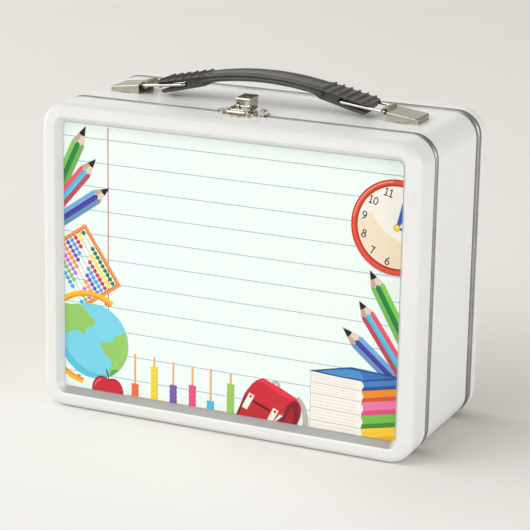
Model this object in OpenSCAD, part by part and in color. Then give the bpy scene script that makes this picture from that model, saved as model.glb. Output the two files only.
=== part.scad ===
// Metal lunch box: a painted tin case with a hinged front cover, a top toggle latch and a lifting handle.
// +X is the width, -Y the front, +Z up. The origin is the centre of the base.

/* [Case] */
// Width of the case
box_w = 222; // [200:1:240]
// Height of the case without the handle
box_h = 174.5; // [160:0.5:190]
// Depth of the case over both covers
box_d = 103; // [100:1:110]
// Outer radius of the four upright corners, seen from the front
corner_r = 14; // [13.5:0.5:16]
// Thickness of the tinplate
sheet = 0.5; // [0.4:0.1:0.6]
// Depth of the front cover, from its face to its open edge
front_depth = 20.8; // [19:0.1:22]
// Depth of the rear cover, from its face to its edge
rear_depth = 9.7; // [9:0.1:10.5]

/* [Cover faces] */
// Radius where a face turns into its side walls
edge_r = 4.5; // [3:0.5:5]
// Width of the frame round the recessed panel
margin = 11.2; // [10.5:0.1:11.5]
// Depth of the recess in each face
recess = 6; // [4:0.5:7]
// Slope of the recess wall, from the face
recess_slope = 61; // [55:1:75]
// Thickness of the printed insert
print_t = 0.6; // [0.4:0.1:1]

/* [Handle] */
// Centre of the handle across the depth of the case
handle_y = 2; // [0:0.5:4]
// Width of the strap in the middle of the grip
strap_w = 18; // [16:0.5:20]
// Thickness of the strap
strap_t = 4.8; // [4:0.2:5.6]
// Width of the ribbed pad at each end of the grip
pad_w = 20; // [19:0.5:21]
// Number of ribs on each pad
ribs = 5; // [3:1:6]
// Diameter of the wire of the two loops
wire_d = 1.7; // [1.5:0.1:1.8]

/* [Latch] */
// Centre of the latch across the width of the case
latch_x = -1; // [-5:0.5:5]
// Number of scallops round the latch plates
scallops = 22; // [16:2:28]

/* [Hidden] */
$fn = 64;

// Colours
white_paint = [0.93, 0.93, 0.92];
bare_tin = [0.68, 0.68, 0.66];
nickel = [0.72, 0.69, 0.62];
black_plastic = [0.13, 0.13, 0.13];
print_colour = [0.93, 0.98, 0.95];

// Stations along the depth, measured forwards of the middle, so a station s lies at y = -s
face_s = box_d / 2;
cover_edge_s = face_s - front_depth;
rear_edge_s = -(face_s - rear_depth);
bead_r = 2.1;
bead_wall = 0.7;
front_bead_s = cover_edge_s - 4.7;
rear_bead_s = rear_edge_s + 2.3;
band_front_s = front_bead_s - bead_r - 0.3;
band_rear_s = rear_bead_s + bead_r + 2.8;
band_inset = 0.5;
band_top = box_h - band_inset;
hem = 3.5;

// Hinge along the bottom edge of the front rim bead
hinge_y = -front_bead_s;
hinge_z = bead_r;
pin_r = 1.3;
knuckle_bore_r = 1.38;
strap_x = 56;
knuckle_w = 24;
knuckle_gap = 0.3;

// Latch, in planes across the case
plate_t = 0.8;
strike_z = box_h;
base_z = box_h + 0.05;
base_top = base_z + plate_t;
plate_mid_y = -26;
plate_a = 14.5;
plate_b = 11.8;
split_y = -28.7;
lever_pivot = [-24.2, base_top + 2.35];
bail_pivot = [-20.2, lever_pivot[1] - 0.4];
bail_bar = [-34.2, strike_z + plate_t + 1.1];
bail_r = 0.7;
bail_half_w = 5.9;
lever_half_w = 4.3;
lever_wall = 0.8;
lever_pin_r = 0.8;
rivet_x = 9;
rivet_r = 0.9;
base_rivet_y = -19;
strike_rivet_y = -32.6;

// Handle: the wire loops turn in the barrels of the brackets, and their inner bars slide in the grip
barrel = [72, band_top + 4.9];
barrel_bore_r = 1.3;
bracket_sheet = 0.9;
barrel_half_w = 6.5;
bracket_w = 18.5;
bracket_x = [74, 91.5];
bracket_h = [5.3, 3];
bar = [46.5, band_top + 7.8];
loop_half_w = 8.3;
loop_corner_r = 1.8;
arch_r = 165;
arch_z = band_top + 15.8;
arch_half = 12.2;
pad_len = 29.3;
pad_t = 1.2;
pad_top = 2.5;
core_half_w = 6.9;
core_bottom = -4.2;
slot_z = [-2.95, -0.3];
slot_x = [11, 26.5];
rib_pitch = 4.8;
rib_start = 1.6;

function arc(c, r, from, to, n = 6) =
    [for (i = [0:n]) c + r * [cos(from + (to - from) * i / n), sin(from + (to - from) * i / n)]];

// ---------- shared shapes ----------

// Stands a shape drawn in the plane of the front face upright, with its own z as the station
module upright() {
    translate([0, 0, box_h / 2]) rotate([90, 0, 0]) children();
}

// Carries a section round the outline of the case. The section's x is the distance from the corner centre
module hoop(w = box_w, h = box_h, r = corner_r) {
    for (i = [0:3]) {
        a = i % 2 == 0 ? w : h;
        b = i % 2 == 0 ? h : w;
        rotate([0, 0, 90 * i]) {
            translate([-(a / 2 - r), b / 2 - r, 0]) rotate([90, 0, 90]) linear_extrude(a - 2 * r) children();
            translate([a / 2 - r, b / 2 - r, 0]) rotate_extrude(angle = 90) children();
        }
    }
}

// A section whose points are [inset from the outer wall, station]
module section(points) {
    polygon([for (p = points) [corner_r - p[0], p[1]]]);
}

module rounded_rect(w, h, r) {
    square([w - 2 * r, h], center = true);
    square([w, h - 2 * r], center = true);
    for (x = [-1, 1], y = [-1, 1]) translate([x * (w / 2 - r), y * (h / 2 - r)]) circle(r);
}

// A pressed cover: side walls with a hem, a rounded edge, a raised frame and a sunk panel
module pan(depth) {
    lip_r = 1.5;
    lip = margin - lip_r * sin(recess_slope)
        - (recess - lip_r + lip_r * cos(recess_slope)) / tan(recess_slope);
    edge_c = [edge_r, face_s - edge_r];
    lip_c = [lip, face_s - lip_r];
    in_r = lip_r - sheet;
    in_end = lip_c + in_r * [sin(recess_slope), cos(recess_slope)];
    floor_in = face_s - recess - sheet;
    in_foot = [in_end[0] + (in_end[1] - floor_in) / tan(recess_slope), floor_in];
    hem_s = face_s - depth;
    hoop() section(concat(
        [[0, hem_s]],
        arc(edge_c, edge_r, 180, 90, 9),
        arc(lip_c, lip_r, 90, 90 - recess_slope, 5),
        [[margin, face_s - recess], [margin, floor_in], in_foot],
        arc(lip_c, in_r, 90 - recess_slope, 90, 5),
        arc(edge_c, edge_r - sheet, 90, 180, 9),
        [[sheet, hem_s + hem], [2 * sheet, hem_s + hem], [2 * sheet, hem_s]]));
    translate([0, 0, floor_in]) linear_extrude(sheet)
        rounded_rect(box_w - 2 * margin, box_h - 2 * margin, corner_r - margin);
}

// Bare tin strip that joins two edges from inside and steps under a rim bead
module neck(from_e, from_s, dip_s, to_e, to_s) {
    dip = 2 * bead_r + 0.3;
    run = 1.4;
    step = sign(to_s - from_s);
    path = [
        [from_e, from_s], [from_e, dip_s[0] - step * run], [dip, dip_s[0]], [dip, dip_s[1]],
        [to_e, dip_s[1] + step * run], [to_e, to_s]];
    inner = [for (i = [len(path) - 1:-1:0]) path[i] + [sheet, 0]];
    color(bare_tin) upright() hoop() section(concat(path, inner));
}

module rim_bead(s) {
    upright() hoop() translate([corner_r - bead_r, s]) difference() {
        circle(bead_r);
        circle(bead_r - bead_wall);
        translate([-bead_r - 0.5, -0.3]) square([bead_r, 0.6]);
    }
}

// A hole or a shaft along X
module along_x(x0, x1, y, z, r) {
    translate([x0, y, z]) rotate([0, 90, 0]) cylinder(h = x1 - x0, r = r);
}

// Extrudes an outline of [y, z] points from x0 to x1
module side_plate(x0, x1) {
    translate([x0, 0, 0]) rotate([90, 0, 90]) linear_extrude(x1 - x0) children();
}

// The holes for one pair of latch rivets
module rivet_holes(y) {
    for (x = [-1, 1]) translate([latch_x + x * rivet_x, y, box_h - 5]) cylinder(h = 8, r = rivet_r + 0.05);
}

// A domed rivet that clamps a plate on top of a sheet
module rivet(x, y, head_z, tail_z) {
    head_r = 1.9;
    head_h = 0.8;
    ball_r = (head_r * head_r + head_h * head_h) / (2 * head_h);
    translate([x, y, 0]) {
        translate([0, 0, tail_z - 0.6]) cylinder(h = 0.6, r = 1.5);
        translate([0, 0, tail_z - 0.1]) cylinder(h = head_z - tail_z + 0.2, r = rivet_r);
        intersection() {
            translate([0, 0, head_z + head_h - ball_r]) sphere(ball_r);
            translate([0, 0, head_z]) cylinder(h = head_h + 1, r = head_r);
        }
    }
}

// ---------- case ----------

module body_band() {
    inner = band_inset + sheet;
    lip = 2.4;
    bend = 0.8;
    front_c = [band_inset + bend, band_front_s - bend];
    rear_c = [band_inset + bend, band_rear_s + bend];
    color(white_paint) difference() {
        upright() hoop() section(concat(
            arc(rear_c, bend, 270, 180, 4),
            arc(front_c, bend, 180, 90, 4),
            [[lip, band_front_s], [lip, band_front_s - sheet]],
            arc(front_c, bend - sheet, 90, 180, 4),
            arc(rear_c, bend - sheet, 180, 270, 4),
            [[lip, band_rear_s + sheet], [lip, band_rear_s]]));
        for (side = [-1, 1], edge = [-1, 1]) bracket_tab(side, edge, 0.1);
        rivet_holes(base_rivet_y);
    }
}

module rear_cover() {
    color(white_paint) upright() mirror([0, 0, 1]) pan(rear_depth);
}

module front_neck_ring() {
    difference() {
        neck(2.2, cover_edge_s + 5.8, [front_bead_s + bead_r + 0.2, band_front_s - 1.4],
            band_inset + sheet, band_front_s - 9);
        rivet_holes(base_rivet_y);
    }
}

module rear_neck_ring() {
    neck(band_inset + sheet, band_rear_s + 8, [band_rear_s + 0.4, rear_bead_s - bead_r - 0.3],
        2 * sheet, rear_edge_s - 6);
}

module front_rim_bead() {
    color(bare_tin) difference() {
        rim_bead(front_bead_s);
        for (x = [-1, 1])
            translate([x * strap_x - knuckle_w / 2 - knuckle_gap, hinge_y - bead_r - 1, -1])
                cube([knuckle_w + 2 * knuckle_gap, 2 * bead_r + 2, 2 * bead_r + 2]);
    }
}

module rear_rim_bead() {
    color(bare_tin) rim_bead(rear_bead_s);
}

module hinge_pin() {
    color(bare_tin) along_x(-86, 86, hinge_y, hinge_z, pin_r);
}

// ---------- front cover ----------

module front_cover() {
    color(white_paint) difference() {
        upright() pan(front_depth);
        for (x = [-1, 1])
            translate([x * strap_x - knuckle_w / 2 - knuckle_gap, -cover_edge_s - hem - 0.1, sheet])
                cube([knuckle_w + 2 * knuckle_gap, hem + 1, sheet + 0.1]);
        rivet_holes(strike_rivet_y);
    }
}

module print_panel() {
    gap = 0.2;
    color(print_colour) upright() translate([0, 0, face_s - recess]) linear_extrude(print_t)
        rounded_rect(box_w - 2 * (margin + gap), box_h - 2 * (margin + gap), corner_r - margin - gap);
}

// A leaf inside the cover's bottom wall, rolled round the hinge pin
module hinge_strap(x) {
    leaf_y = hinge_y - 14;
    color(bare_tin) translate([x, 0, 0]) {
        difference() {
            along_x(-knuckle_w / 2, knuckle_w / 2, hinge_y, hinge_z, bead_r);
            along_x(-knuckle_w, knuckle_w, hinge_y, hinge_z, knuckle_bore_r);
        }
        translate([-knuckle_w / 2, leaf_y, sheet]) cube([knuckle_w, hinge_y - 1.1 - leaf_y, sheet]);
    }
}

// ---------- handle ----------

// A tab that passes through the band and is bent flat inside it. Grown by some clearance, it cuts its slot
module bracket_tab(side, edge, grow = 0) {
    long = 7;
    bend = 4.2;
    x = side * (bracket_x[0] + bracket_x[1]) / 2;
    y = handle_y + edge * (bracket_w / 2 - bracket_sheet / 2);
    under = band_top - sheet - 0.05 - bracket_sheet;
    stem = [long + 2 * grow, bracket_sheet + 2 * grow, band_top - under + 0.5];
    translate([x, y, under + stem[2] / 2]) cube(stem, center = true);
    if (grow == 0)
        translate([x, y - edge * (bend - bracket_sheet) / 2, under + bracket_sheet / 2])
            cube([long, bend, bracket_sheet], center = true);
}

module bracket(side) {
    t = bracket_sheet;
    x0 = bracket_x[0];
    x1 = bracket_x[1];
    z0 = band_top;
    drop = (bracket_h[0] - bracket_h[1]) / (x1 - x0);
    roll_r = barrel_bore_r + 1;
    color(nickel) union() {
        translate([0, handle_y, 0]) scale_side(side) {
            difference() {
                translate([0, bracket_w / 2, 0]) rotate([90, 0, 0]) linear_extrude(bracket_w)
                    polygon([[x0, z0], [x1, z0], [x1, z0 + bracket_h[1]], [x0, z0 + bracket_h[0]]]);
                translate([0, bracket_w / 2 - t, 0]) rotate([90, 0, 0]) linear_extrude(bracket_w - 2 * t)
                    polygon([
                        [x0 - 1, z0 - 1], [x1 - t, z0 - 1], [x1 - t, z0 + bracket_h[1] - t + drop * t],
                        [x0 - 1, z0 + bracket_h[0] - t + drop]]);
                barrel_cylinder(barrel_bore_r, bracket_w / 2);
            }
            difference() {
                barrel_cylinder(roll_r, barrel_half_w);
                barrel_cylinder(barrel_bore_r, barrel_half_w + 1);
                translate([barrel[0] - 0.6, -barrel_half_w - 1, barrel[1] - roll_r - 1])
                    cube([0.7, 2 * barrel_half_w + 2, roll_r + 0.6]);
            }
        }
        for (edge = [-1, 1]) bracket_tab(side, edge);
    }
}

// Mirrors a right-hand shape to the left
module scale_side(side) {
    if (side > 0) children();
    else mirror([1, 0, 0]) children();
}

module barrel_cylinder(r, half) {
    translate([barrel[0], half, barrel[1]]) rotate([90, 0, 0]) cylinder(h = 2 * half, r = r);
}

// A closed wire ring from the barrel to the bar inside the grip
module handle_loop(side) {
    r = wire_d / 2;
    reach = norm(bar - barrel);
    tilt = atan2(bar[1] - barrel[1], barrel[0] - bar[0]);
    c = loop_corner_r;
    color(nickel) translate([0, handle_y, 0]) scale_side(side) translate([barrel[0], 0, barrel[1]])
        rotate([0, tilt, 0]) union() {
            for (x = [0, -reach])
                translate([x, loop_half_w - c, 0]) rotate([90, 0, 0]) cylinder(h = 2 * (loop_half_w - c), r = r);
            for (y = [-1, 1])
                translate([-reach + c, y * loop_half_w, 0]) rotate([0, 90, 0]) cylinder(h = reach - 2 * c, r = r);
            for (i = [0:3])
                translate([i == 0 || i == 3 ? -c : c - reach, (i < 2 ? 1 : -1) * (loop_half_w - c), 0])
                    rotate([0, 0, 90 * i]) rotate_extrude(angle = 90) translate([c, 0]) circle(r);
        }
}

module strap_section() {
    square([strap_t, strap_w - strap_t], center = true);
    for (y = [-1, 1]) translate([0, y * (strap_w - strap_t) / 2]) circle(strap_t / 2);
}

// One end of the grip, drawn along +x from the end of the arch
module grip_end() {
    difference() {
        union() {
            translate([-1, -pad_w / 2, pad_top - pad_t]) cube([pad_len + 1, pad_w, pad_t]);
            translate([0, core_half_w, 0]) rotate([90, 0, 0]) linear_extrude(2 * core_half_w)
                polygon([
                    [-6, 1], [-6, -strap_t / 2 + 0.2], [0, core_bottom], [slot_x[1] + 1, core_bottom],
                    [slot_x[1] + 1, slot_z[0]], [slot_x[1], slot_z[0]], [slot_x[1], -1.9],
                    [pad_len - 0.6, -1.9], [pad_len - 0.6, pad_top - 0.5], [-2, pad_top - 0.5]]);
            for (i = [0:ribs - 1])
                translate([rib_start + i * rib_pitch, pad_w / 2, pad_top]) rotate([90, 0, 0])
                    linear_extrude(pad_w) polygon([[-0.9, -0.3], [-0.3, 0.55], [0.4, 0.55], [0.6, -0.3]]);
        }
        translate([slot_x[0], -core_half_w - 1, slot_z[0]])
            cube([slot_x[1] - slot_x[0], 2 * core_half_w + 2, slot_z[1] - slot_z[0]]);
    }
}

module handle_grip() {
    end_x = arch_r * sin(arch_half);
    end_z = arch_z - arch_r + arch_r * cos(arch_half);
    color(black_plastic) translate([0, handle_y, 0]) union() {
        translate([0, 0, arch_z - arch_r]) rotate([90, 0, 0])
            rotate_extrude(angle = 2 * arch_half, start = 90 - arch_half, $fn = 180)
                translate([arch_r, 0]) strap_section();
        for (side = [-1, 1])
            scale_side(side) translate([end_x, 0, end_z]) rotate([0, arch_half, 0]) grip_end();
    }
}

// ---------- latch ----------

function scalloped(a, b, n = 132) =
    [for (i = [0:n - 1]) let (t = 360 * i / n, s = 0.3 * cos(scallops * t)) [(a + s) * cos(t), (b + s) * sin(t)]];

// The part of the scalloped plate between two stations across the seam, as a flat outline
module plate_outline(y0, y1) {
    intersection() {
        translate([latch_x, plate_mid_y]) polygon(scalloped(plate_a, plate_b));
        translate([latch_x - 20, y0]) square([40, y1 - y0]);
    }
}

module latch_base() {
    ear = [lever_half_w - lever_wall - 0.1 - 0.8, lever_half_w - lever_wall - 0.1];
    color(nickel) difference() {
        union() {
            translate([0, 0, base_z]) linear_extrude(plate_t) plate_outline(split_y + 0.3, 0);
            translate([0, 0, band_top]) linear_extrude(base_z - band_top) plate_outline(-band_front_s + 0.9, 0);
            for (side = [0, 1]) mirror_about_latch(side)
                side_plate(latch_x + ear[0], latch_x + ear[1]) {
                    translate(lever_pivot) circle(1.8);
                    translate([lever_pivot[0] - 1.8, base_top - 0.2]) square([3.6, lever_pivot[1] - base_top + 0.2]);
                }
        }
        along_x(latch_x - 6, latch_x + 6, lever_pivot[0], lever_pivot[1], lever_pin_r + 0.02);
        rivet_holes(base_rivet_y);
    }
}

module mirror_about_latch(side) {
    if (side == 0) children();
    else translate([2 * latch_x, 0, 0]) mirror([1, 0, 0]) children();
}

module latch_base_rivets() {
    color(nickel) for (x = [-1, 1]) rivet(latch_x + x * rivet_x, base_rivet_y, base_top, band_top - 2 * sheet);
}

module latch_pivot_pin() {
    half = lever_half_w;
    color(nickel) {
        along_x(latch_x - half, latch_x + half, lever_pivot[0], lever_pivot[1], lever_pin_r);
        for (x = [-half - 0.45, half]) along_x(latch_x + x, latch_x + x + 0.45, lever_pivot[0], lever_pivot[1], 1.1);
    }
}

module latch_strike() {
    catch_w = 8;
    top = strike_z + plate_t;
    color(nickel) difference() {
        union() {
            translate([0, 0, strike_z]) linear_extrude(plate_t) plate_outline(-60, split_y - 0.3);
            side_plate(latch_x - catch_w / 2, latch_x + catch_w / 2)
                polygon([
                    [bail_bar[0] + 1.05, top - 0.2], [bail_bar[0] + 1.05, top + 2.1], [bail_bar[0] + 1.35, top + 2.4],
                    [bail_bar[0] + 1.9, top + 2.4], [bail_bar[0] + 2.2, top + 2.1], [bail_bar[0] + 2.2, top + 0.7],
                    [bail_bar[0] + 2.9, top - 0.2]]);
        }
        rivet_holes(strike_rivet_y);
    }
}

module strike_rivets() {
    color(nickel) for (x = [-1, 1])
        rivet(latch_x + x * rivet_x, strike_rivet_y, strike_z + plate_t, box_h - 2 * sheet);
}

// An upside-down channel: two flanges on the pivot, a top plate, a rolled front edge and a thumb lip
module latch_lever() {
    top = base_top + 7.2;
    p = lever_pivot;
    rear = p[0] + 8;
    roll = [p[0] - 1.4, top - 0.75];
    color(nickel) difference() {
        union() {
            for (side = [0, 1]) mirror_about_latch(side)
                side_plate(latch_x + lever_half_w - lever_wall, latch_x + lever_half_w) {
                    translate(p) circle(2.1);
                    polygon([
                        [p[0] - 2.1, p[1]], [p[0], p[1] - 2.1], [rear - 1.2, p[1] - 1.6], [rear, p[1] - 0.6],
                        [rear, top - 0.3], [p[0] - 1.6, top - 0.3]]);
                }
            side_plate(latch_x - lever_half_w, latch_x + lever_half_w)
                polygon([
                    [p[0] - 1.4, top], [rear, top], [rear + 0.9, top + 0.4], [rear + 0.9, top - 0.4],
                    [rear, top - 0.8], [p[0] - 1.4, top - 0.8]]);
            along_x(latch_x - lever_half_w, latch_x + lever_half_w, roll[0], roll[1], 0.75);
        }
        along_x(latch_x - 6, latch_x + 6, p[0], p[1], lever_pin_r + 0.05);
        along_x(latch_x - 6, latch_x + 6, bail_pivot[0], bail_pivot[1], bail_r + 0.05);
    }
}

// A wire bail: two ends in the lever, two legs outside it and a crossbar in front of the catch
module latch_bail() {
    r = bail_r;
    c = 1.3;
    reach = norm(bail_bar - bail_pivot);
    tilt = atan2(bail_pivot[1] - bail_bar[1], bail_pivot[0] - bail_bar[0]);
    stub_in = lever_half_w - lever_wall - 0.1;
    color(nickel) translate([latch_x, bail_pivot[0], bail_pivot[1]]) rotate([tilt, 0, 0]) union() {
        along_x(-(bail_half_w - c), bail_half_w - c, -reach, 0, r);
        for (side = [0, 1]) mirror([side, 0, 0]) {
            translate([bail_half_w, -c, 0]) rotate([90, 0, 0]) cylinder(h = reach - 2 * c, r = r);
            along_x(stub_in, bail_half_w - c, 0, 0, r);
            translate([bail_half_w - c, -c, 0]) rotate_extrude(angle = 90) translate([c, 0]) circle(r);
            translate([bail_half_w - c, c - reach, 0]) rotate([0, 0, -90]) rotate_extrude(angle = 90)
                translate([c, 0]) circle(r);
        }
    }
}

body_band();
rear_cover();
front_neck_ring();
rear_neck_ring();
front_rim_bead();
rear_rim_bead();
hinge_pin();
bracket(-1);  // bracket_left
bracket(1);  // bracket_right
latch_base();
latch_base_rivets();
latch_pivot_pin();
front_cover();
print_panel();
hinge_strap(-strap_x);  // hinge_strap_left
hinge_strap(strap_x);  // hinge_strap_right
latch_strike();
strike_rivets();
handle_grip();
handle_loop(-1);  // handle_loop_left
handle_loop(1);  // handle_loop_right
latch_lever();
latch_bail();
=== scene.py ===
import bmesh
import bpy
import math
from mathutils import Matrix, Vector
from mathutils.geometry import delaunay_2d_cdt

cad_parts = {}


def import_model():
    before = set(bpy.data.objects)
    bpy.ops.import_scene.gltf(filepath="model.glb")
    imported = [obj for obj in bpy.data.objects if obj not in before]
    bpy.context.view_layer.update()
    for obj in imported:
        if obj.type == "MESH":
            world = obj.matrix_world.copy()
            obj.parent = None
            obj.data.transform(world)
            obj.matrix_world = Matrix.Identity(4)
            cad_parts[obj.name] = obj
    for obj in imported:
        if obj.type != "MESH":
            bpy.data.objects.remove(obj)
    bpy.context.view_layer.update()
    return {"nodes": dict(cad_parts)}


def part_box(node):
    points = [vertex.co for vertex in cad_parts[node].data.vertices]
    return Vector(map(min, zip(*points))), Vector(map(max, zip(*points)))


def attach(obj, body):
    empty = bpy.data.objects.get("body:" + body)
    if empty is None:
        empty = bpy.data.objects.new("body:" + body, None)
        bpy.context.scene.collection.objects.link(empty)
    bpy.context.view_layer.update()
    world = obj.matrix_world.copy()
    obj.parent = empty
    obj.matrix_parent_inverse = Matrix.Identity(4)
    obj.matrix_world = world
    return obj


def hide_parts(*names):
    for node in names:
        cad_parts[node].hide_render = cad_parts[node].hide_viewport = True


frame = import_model()

MM = 0.001
SHEET = 0.5 * MM

# ---------- places and sizes, from the frame ----------

cover_lo, cover_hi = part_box("front_cover")
rear_lo, rear_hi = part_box("rear_cover")
band_lo, band_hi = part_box("body_band")
bead_lo, bead_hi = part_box("front_rim_bead")
rear_bead_lo, rear_bead_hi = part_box("rear_rim_bead")
print_lo, print_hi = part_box("print_panel")
neck_lo, neck_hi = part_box("front_neck_ring")
rear_neck_lo, rear_neck_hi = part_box("rear_neck_ring")

BOX_W = cover_hi.x - cover_lo.x
BOX_H = cover_hi.z - cover_lo.z
MID_Z = (cover_lo.z + cover_hi.z) / 2
CORNER_R = 14 * MM
EDGE_R = 4.5 * MM
BEAD_R = (bead_hi.y - bead_lo.y) / 2
BAND_INSET = cover_hi.x - band_hi.x
MARGIN = print_lo.x - cover_lo.x - 0.2 * MM
RECESS = print_hi.y - cover_lo.y


# ---------- mesh tools ----------

def modify(piece, name, kind, **values):
    """Adds a modifier with its settings."""
    modifier = piece.modifiers.new(name, kind)
    for key, value in values.items():
        setattr(modifier, key, value)


def new_mesh(name, work):
    """Turns finished work into a mesh."""
    mesh = bpy.data.meshes.new(name)
    work.to_mesh(mesh)
    work.free()
    return mesh


def add_object(name, mesh, sharp_deg=32, weighted=True):
    """Links a mesh as a smooth object whose edges stay sharp above an angle."""
    work = bmesh.new()
    work.from_mesh(mesh)
    bmesh.ops.recalc_face_normals(work, faces=work.faces)
    work.to_mesh(mesh)
    work.free()
    for polygon in mesh.polygons:
        polygon.use_smooth = True
    mesh.set_sharp_from_angle(angle=math.radians(sharp_deg))
    piece = bpy.data.objects.new(name, mesh)
    bpy.context.scene.collection.objects.link(piece)
    if weighted:
        modify(piece, "weights", "WEIGHTED_NORMAL", keep_sharp=True)
    return piece


def build(name, vertices, faces, **options):
    mesh = bpy.data.meshes.new(name)
    mesh.from_pydata([tuple(v) for v in vertices], [], faces)
    mesh.validate()
    return add_object(name, mesh, **options)


def join(name, pieces):
    """Makes one object out of several closed shells."""
    work = bmesh.new()
    for piece in pieces:
        work.from_mesh(piece.data)
        bpy.data.objects.remove(piece)
    return add_object(name, new_mesh(name, work))


def grid_faces(rows, columns, wrap_rows=False, wrap_columns=True):
    """Quads between rows of points that all have the same number of points."""
    faces = []
    for j in range(rows if wrap_rows else rows - 1):
        a = j * columns
        b = (j + 1) % rows * columns
        for k in range(columns if wrap_columns else columns - 1):
            m = (k + 1) % columns
            faces.append((a + k, b + k, b + m, a + m))
    return faces


def end_faces(rows, columns):
    """The two faces that close the ends of a tube of rows."""
    last = (rows - 1) * columns
    return [list(range(columns)), [last + k for k in range(columns)][::-1]]


def arc(centre, radius, start, end, steps=8):
    """Points on an arc, angles in degrees."""
    angles = [math.radians(start + (end - start) * i / steps) for i in range(steps + 1)]
    return [(centre[0] + radius * math.cos(a), centre[1] + radius * math.sin(a)) for a in angles]


def place(piece, body, node):
    """Puts a piece on its body, in the place of the CAD node that it shows in finer form."""
    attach(piece, body)
    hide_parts(node)


# ---------- shapes that run round the case ----------

def ring_stations(steps=14):
    """Stations once round the case's outline: the corner centre and the outward direction of each."""
    half_w = BOX_W / 2 - CORNER_R
    half_h = BOX_H / 2 - CORNER_R
    found = []
    for corner, (sx, sz) in enumerate([(1, -1), (1, 1), (-1, 1), (-1, -1)]):
        for i in range(steps + 1):
            a = math.radians(90 * (corner - 1) + 90 * i / steps)
            found.append((sx * half_w, MID_Z + sz * half_h, math.cos(a), math.sin(a)))
    return found


def ring_point(station, inset, y):
    cx, cz, dx, dz = station
    reach = CORNER_R - inset
    return (cx + reach * dx, y, cz + reach * dz)


def sweep(name, section, stations=None, round_trip=True, floors=False):
    """Carries a section of (inset, y) points round the case.

    A closed section makes a tube. With floors, the section is open and both its ends are closed
    across the whole outline, as in a pressed pan. An open path of stations gets end caps."""
    stations = stations or ring_stations()
    n = len(section)
    count = len(stations)
    vertices = [ring_point(s, inset, y) for s in stations for inset, y in section]
    faces = grid_faces(count, n, wrap_rows=round_trip, wrap_columns=not floors)
    if floors:
        faces.append([j * n for j in range(count)])
        faces.append([j * n + n - 1 for j in range(count)][::-1])
    if not round_trip:
        faces += end_faces(count, n)
    return build(name, vertices, faces)


def pan_section(face_y, edge_y):
    """The section of a pressed cover, from the outside of its sunk floor round to the inside."""
    out = 1 if face_y > edge_y else -1
    lip_r = 1.5 * MM
    foot_r = 0.8 * MM
    slope_deg = 61
    slope = math.radians(slope_deg)
    hem = 3.5 * MM
    lip = MARGIN - lip_r * math.sin(slope) - (RECESS - lip_r + lip_r * math.cos(slope)) / math.tan(slope)
    outer = [(MARGIN + foot_r, RECESS)]
    outer += arc((MARGIN + foot_r * math.tan(slope / 2), RECESS - foot_r), foot_r, 90, 90 + slope_deg, 4)
    outer += arc((lip, lip_r), lip_r, slope_deg - 90, -90, 6)
    outer += arc((EDGE_R, EDGE_R), EDGE_R, -90, -180, 12)
    hem_end = abs(face_y - edge_y)
    outer += arc((SHEET, hem_end - SHEET), SHEET, 180, 0, 6)
    outer += [(2 * SHEET, hem_end - hem), (SHEET, hem_end - hem)]
    inner = arc((EDGE_R, EDGE_R), EDGE_R - SHEET, -180, -90, 10)
    inner += arc((lip, lip_r), lip_r - SHEET, -90, slope_deg - 90, 5)
    inner += [(MARGIN - 0.3 * MM, RECESS + SHEET), (MARGIN + foot_r, RECESS + SHEET)]
    return [(inset, face_y - out * depth) for inset, depth in outer + inner]


def neck_section(entry, gap, exit_point):
    """A strip that steps down under a rim bead, with eased bends."""
    dip = 2 * BEAD_R + 0.3 * MM
    run = 1.4 * MM
    step = math.copysign(1, exit_point[1] - entry[1])
    corners = [entry, (entry[0], gap[0] - step * run), (dip, gap[0]), (dip, gap[1]),
               (exit_point[0], gap[1] + step * run), exit_point]
    path = [Vector(corners[0])]
    for before, at, after in zip(corners, corners[1:], corners[2:]):
        before = Vector(before)
        at = Vector(at)
        after = Vector(after)
        ease = min(0.5 * MM, (before - at).length / 2, (after - at).length / 2)
        start = at + (before - at).normalized() * ease
        end = at + (after - at).normalized() * ease
        for t in (0, 0.25, 0.5, 0.75, 1):
            path.append(start.lerp(at, t).lerp(at.lerp(end, t), t))
    path.append(Vector(corners[-1]))
    return [tuple(p) for p in path] + [(p.x + SHEET, p.y) for p in reversed(path)]


# ---------- other shapes ----------

def tube(name, path, radius, closed=False, up=(0, 0, 1), round_ends=0):
    """A round wire along a path of points. round_ends is how much thinner its ends are."""
    segments = 14
    points = [Vector(p) for p in path]
    count = len(points)
    vertices = []
    side = None
    for i, point in enumerate(points):
        if closed:
            tangent = (points[(i + 1) % count] - points[i - 1]).normalized()
        else:
            tangent = (points[min(i + 1, count - 1)] - points[max(i - 1, 0)]).normalized()
        if side is None:
            side = tangent.cross(Vector(up)).normalized()
        side = (side - tangent * side.dot(tangent)).normalized()
        other = tangent.cross(side)
        r = radius
        if round_ends and i in (0, count - 1):
            r = radius - round_ends
        for k in range(segments):
            a = 2 * math.pi * k / segments
            vertices.append(point + (side * math.cos(a) + other * math.sin(a)) * r)
    faces = grid_faces(count, segments, wrap_rows=closed)
    if not closed:
        faces += end_faces(count, segments)
    return build(name, vertices, faces, sharp_deg=40)


def rounded_path(corners, radius, closed=False, steps=6):
    """A path through corners, each turned with a radius."""
    corners = [Vector(c) for c in corners]
    count = len(corners)
    path = []
    for i, at in enumerate(corners):
        if not closed and i in (0, count - 1):
            path.append(at)
            continue
        before = (corners[i - 1] - at).normalized()
        after = (corners[(i + 1) % count] - at).normalized()
        half = math.acos(max(-1, min(1, before.dot(after)))) / 2
        reach = radius / math.tan(half)
        centre = at + (before + after).normalized() * radius / math.sin(half)
        start = at + before * reach - centre
        end = at + after * reach - centre
        for k in range(steps + 1):
            path.append(centre + start.slerp(end, k / steps) * radius)
    return path


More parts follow.
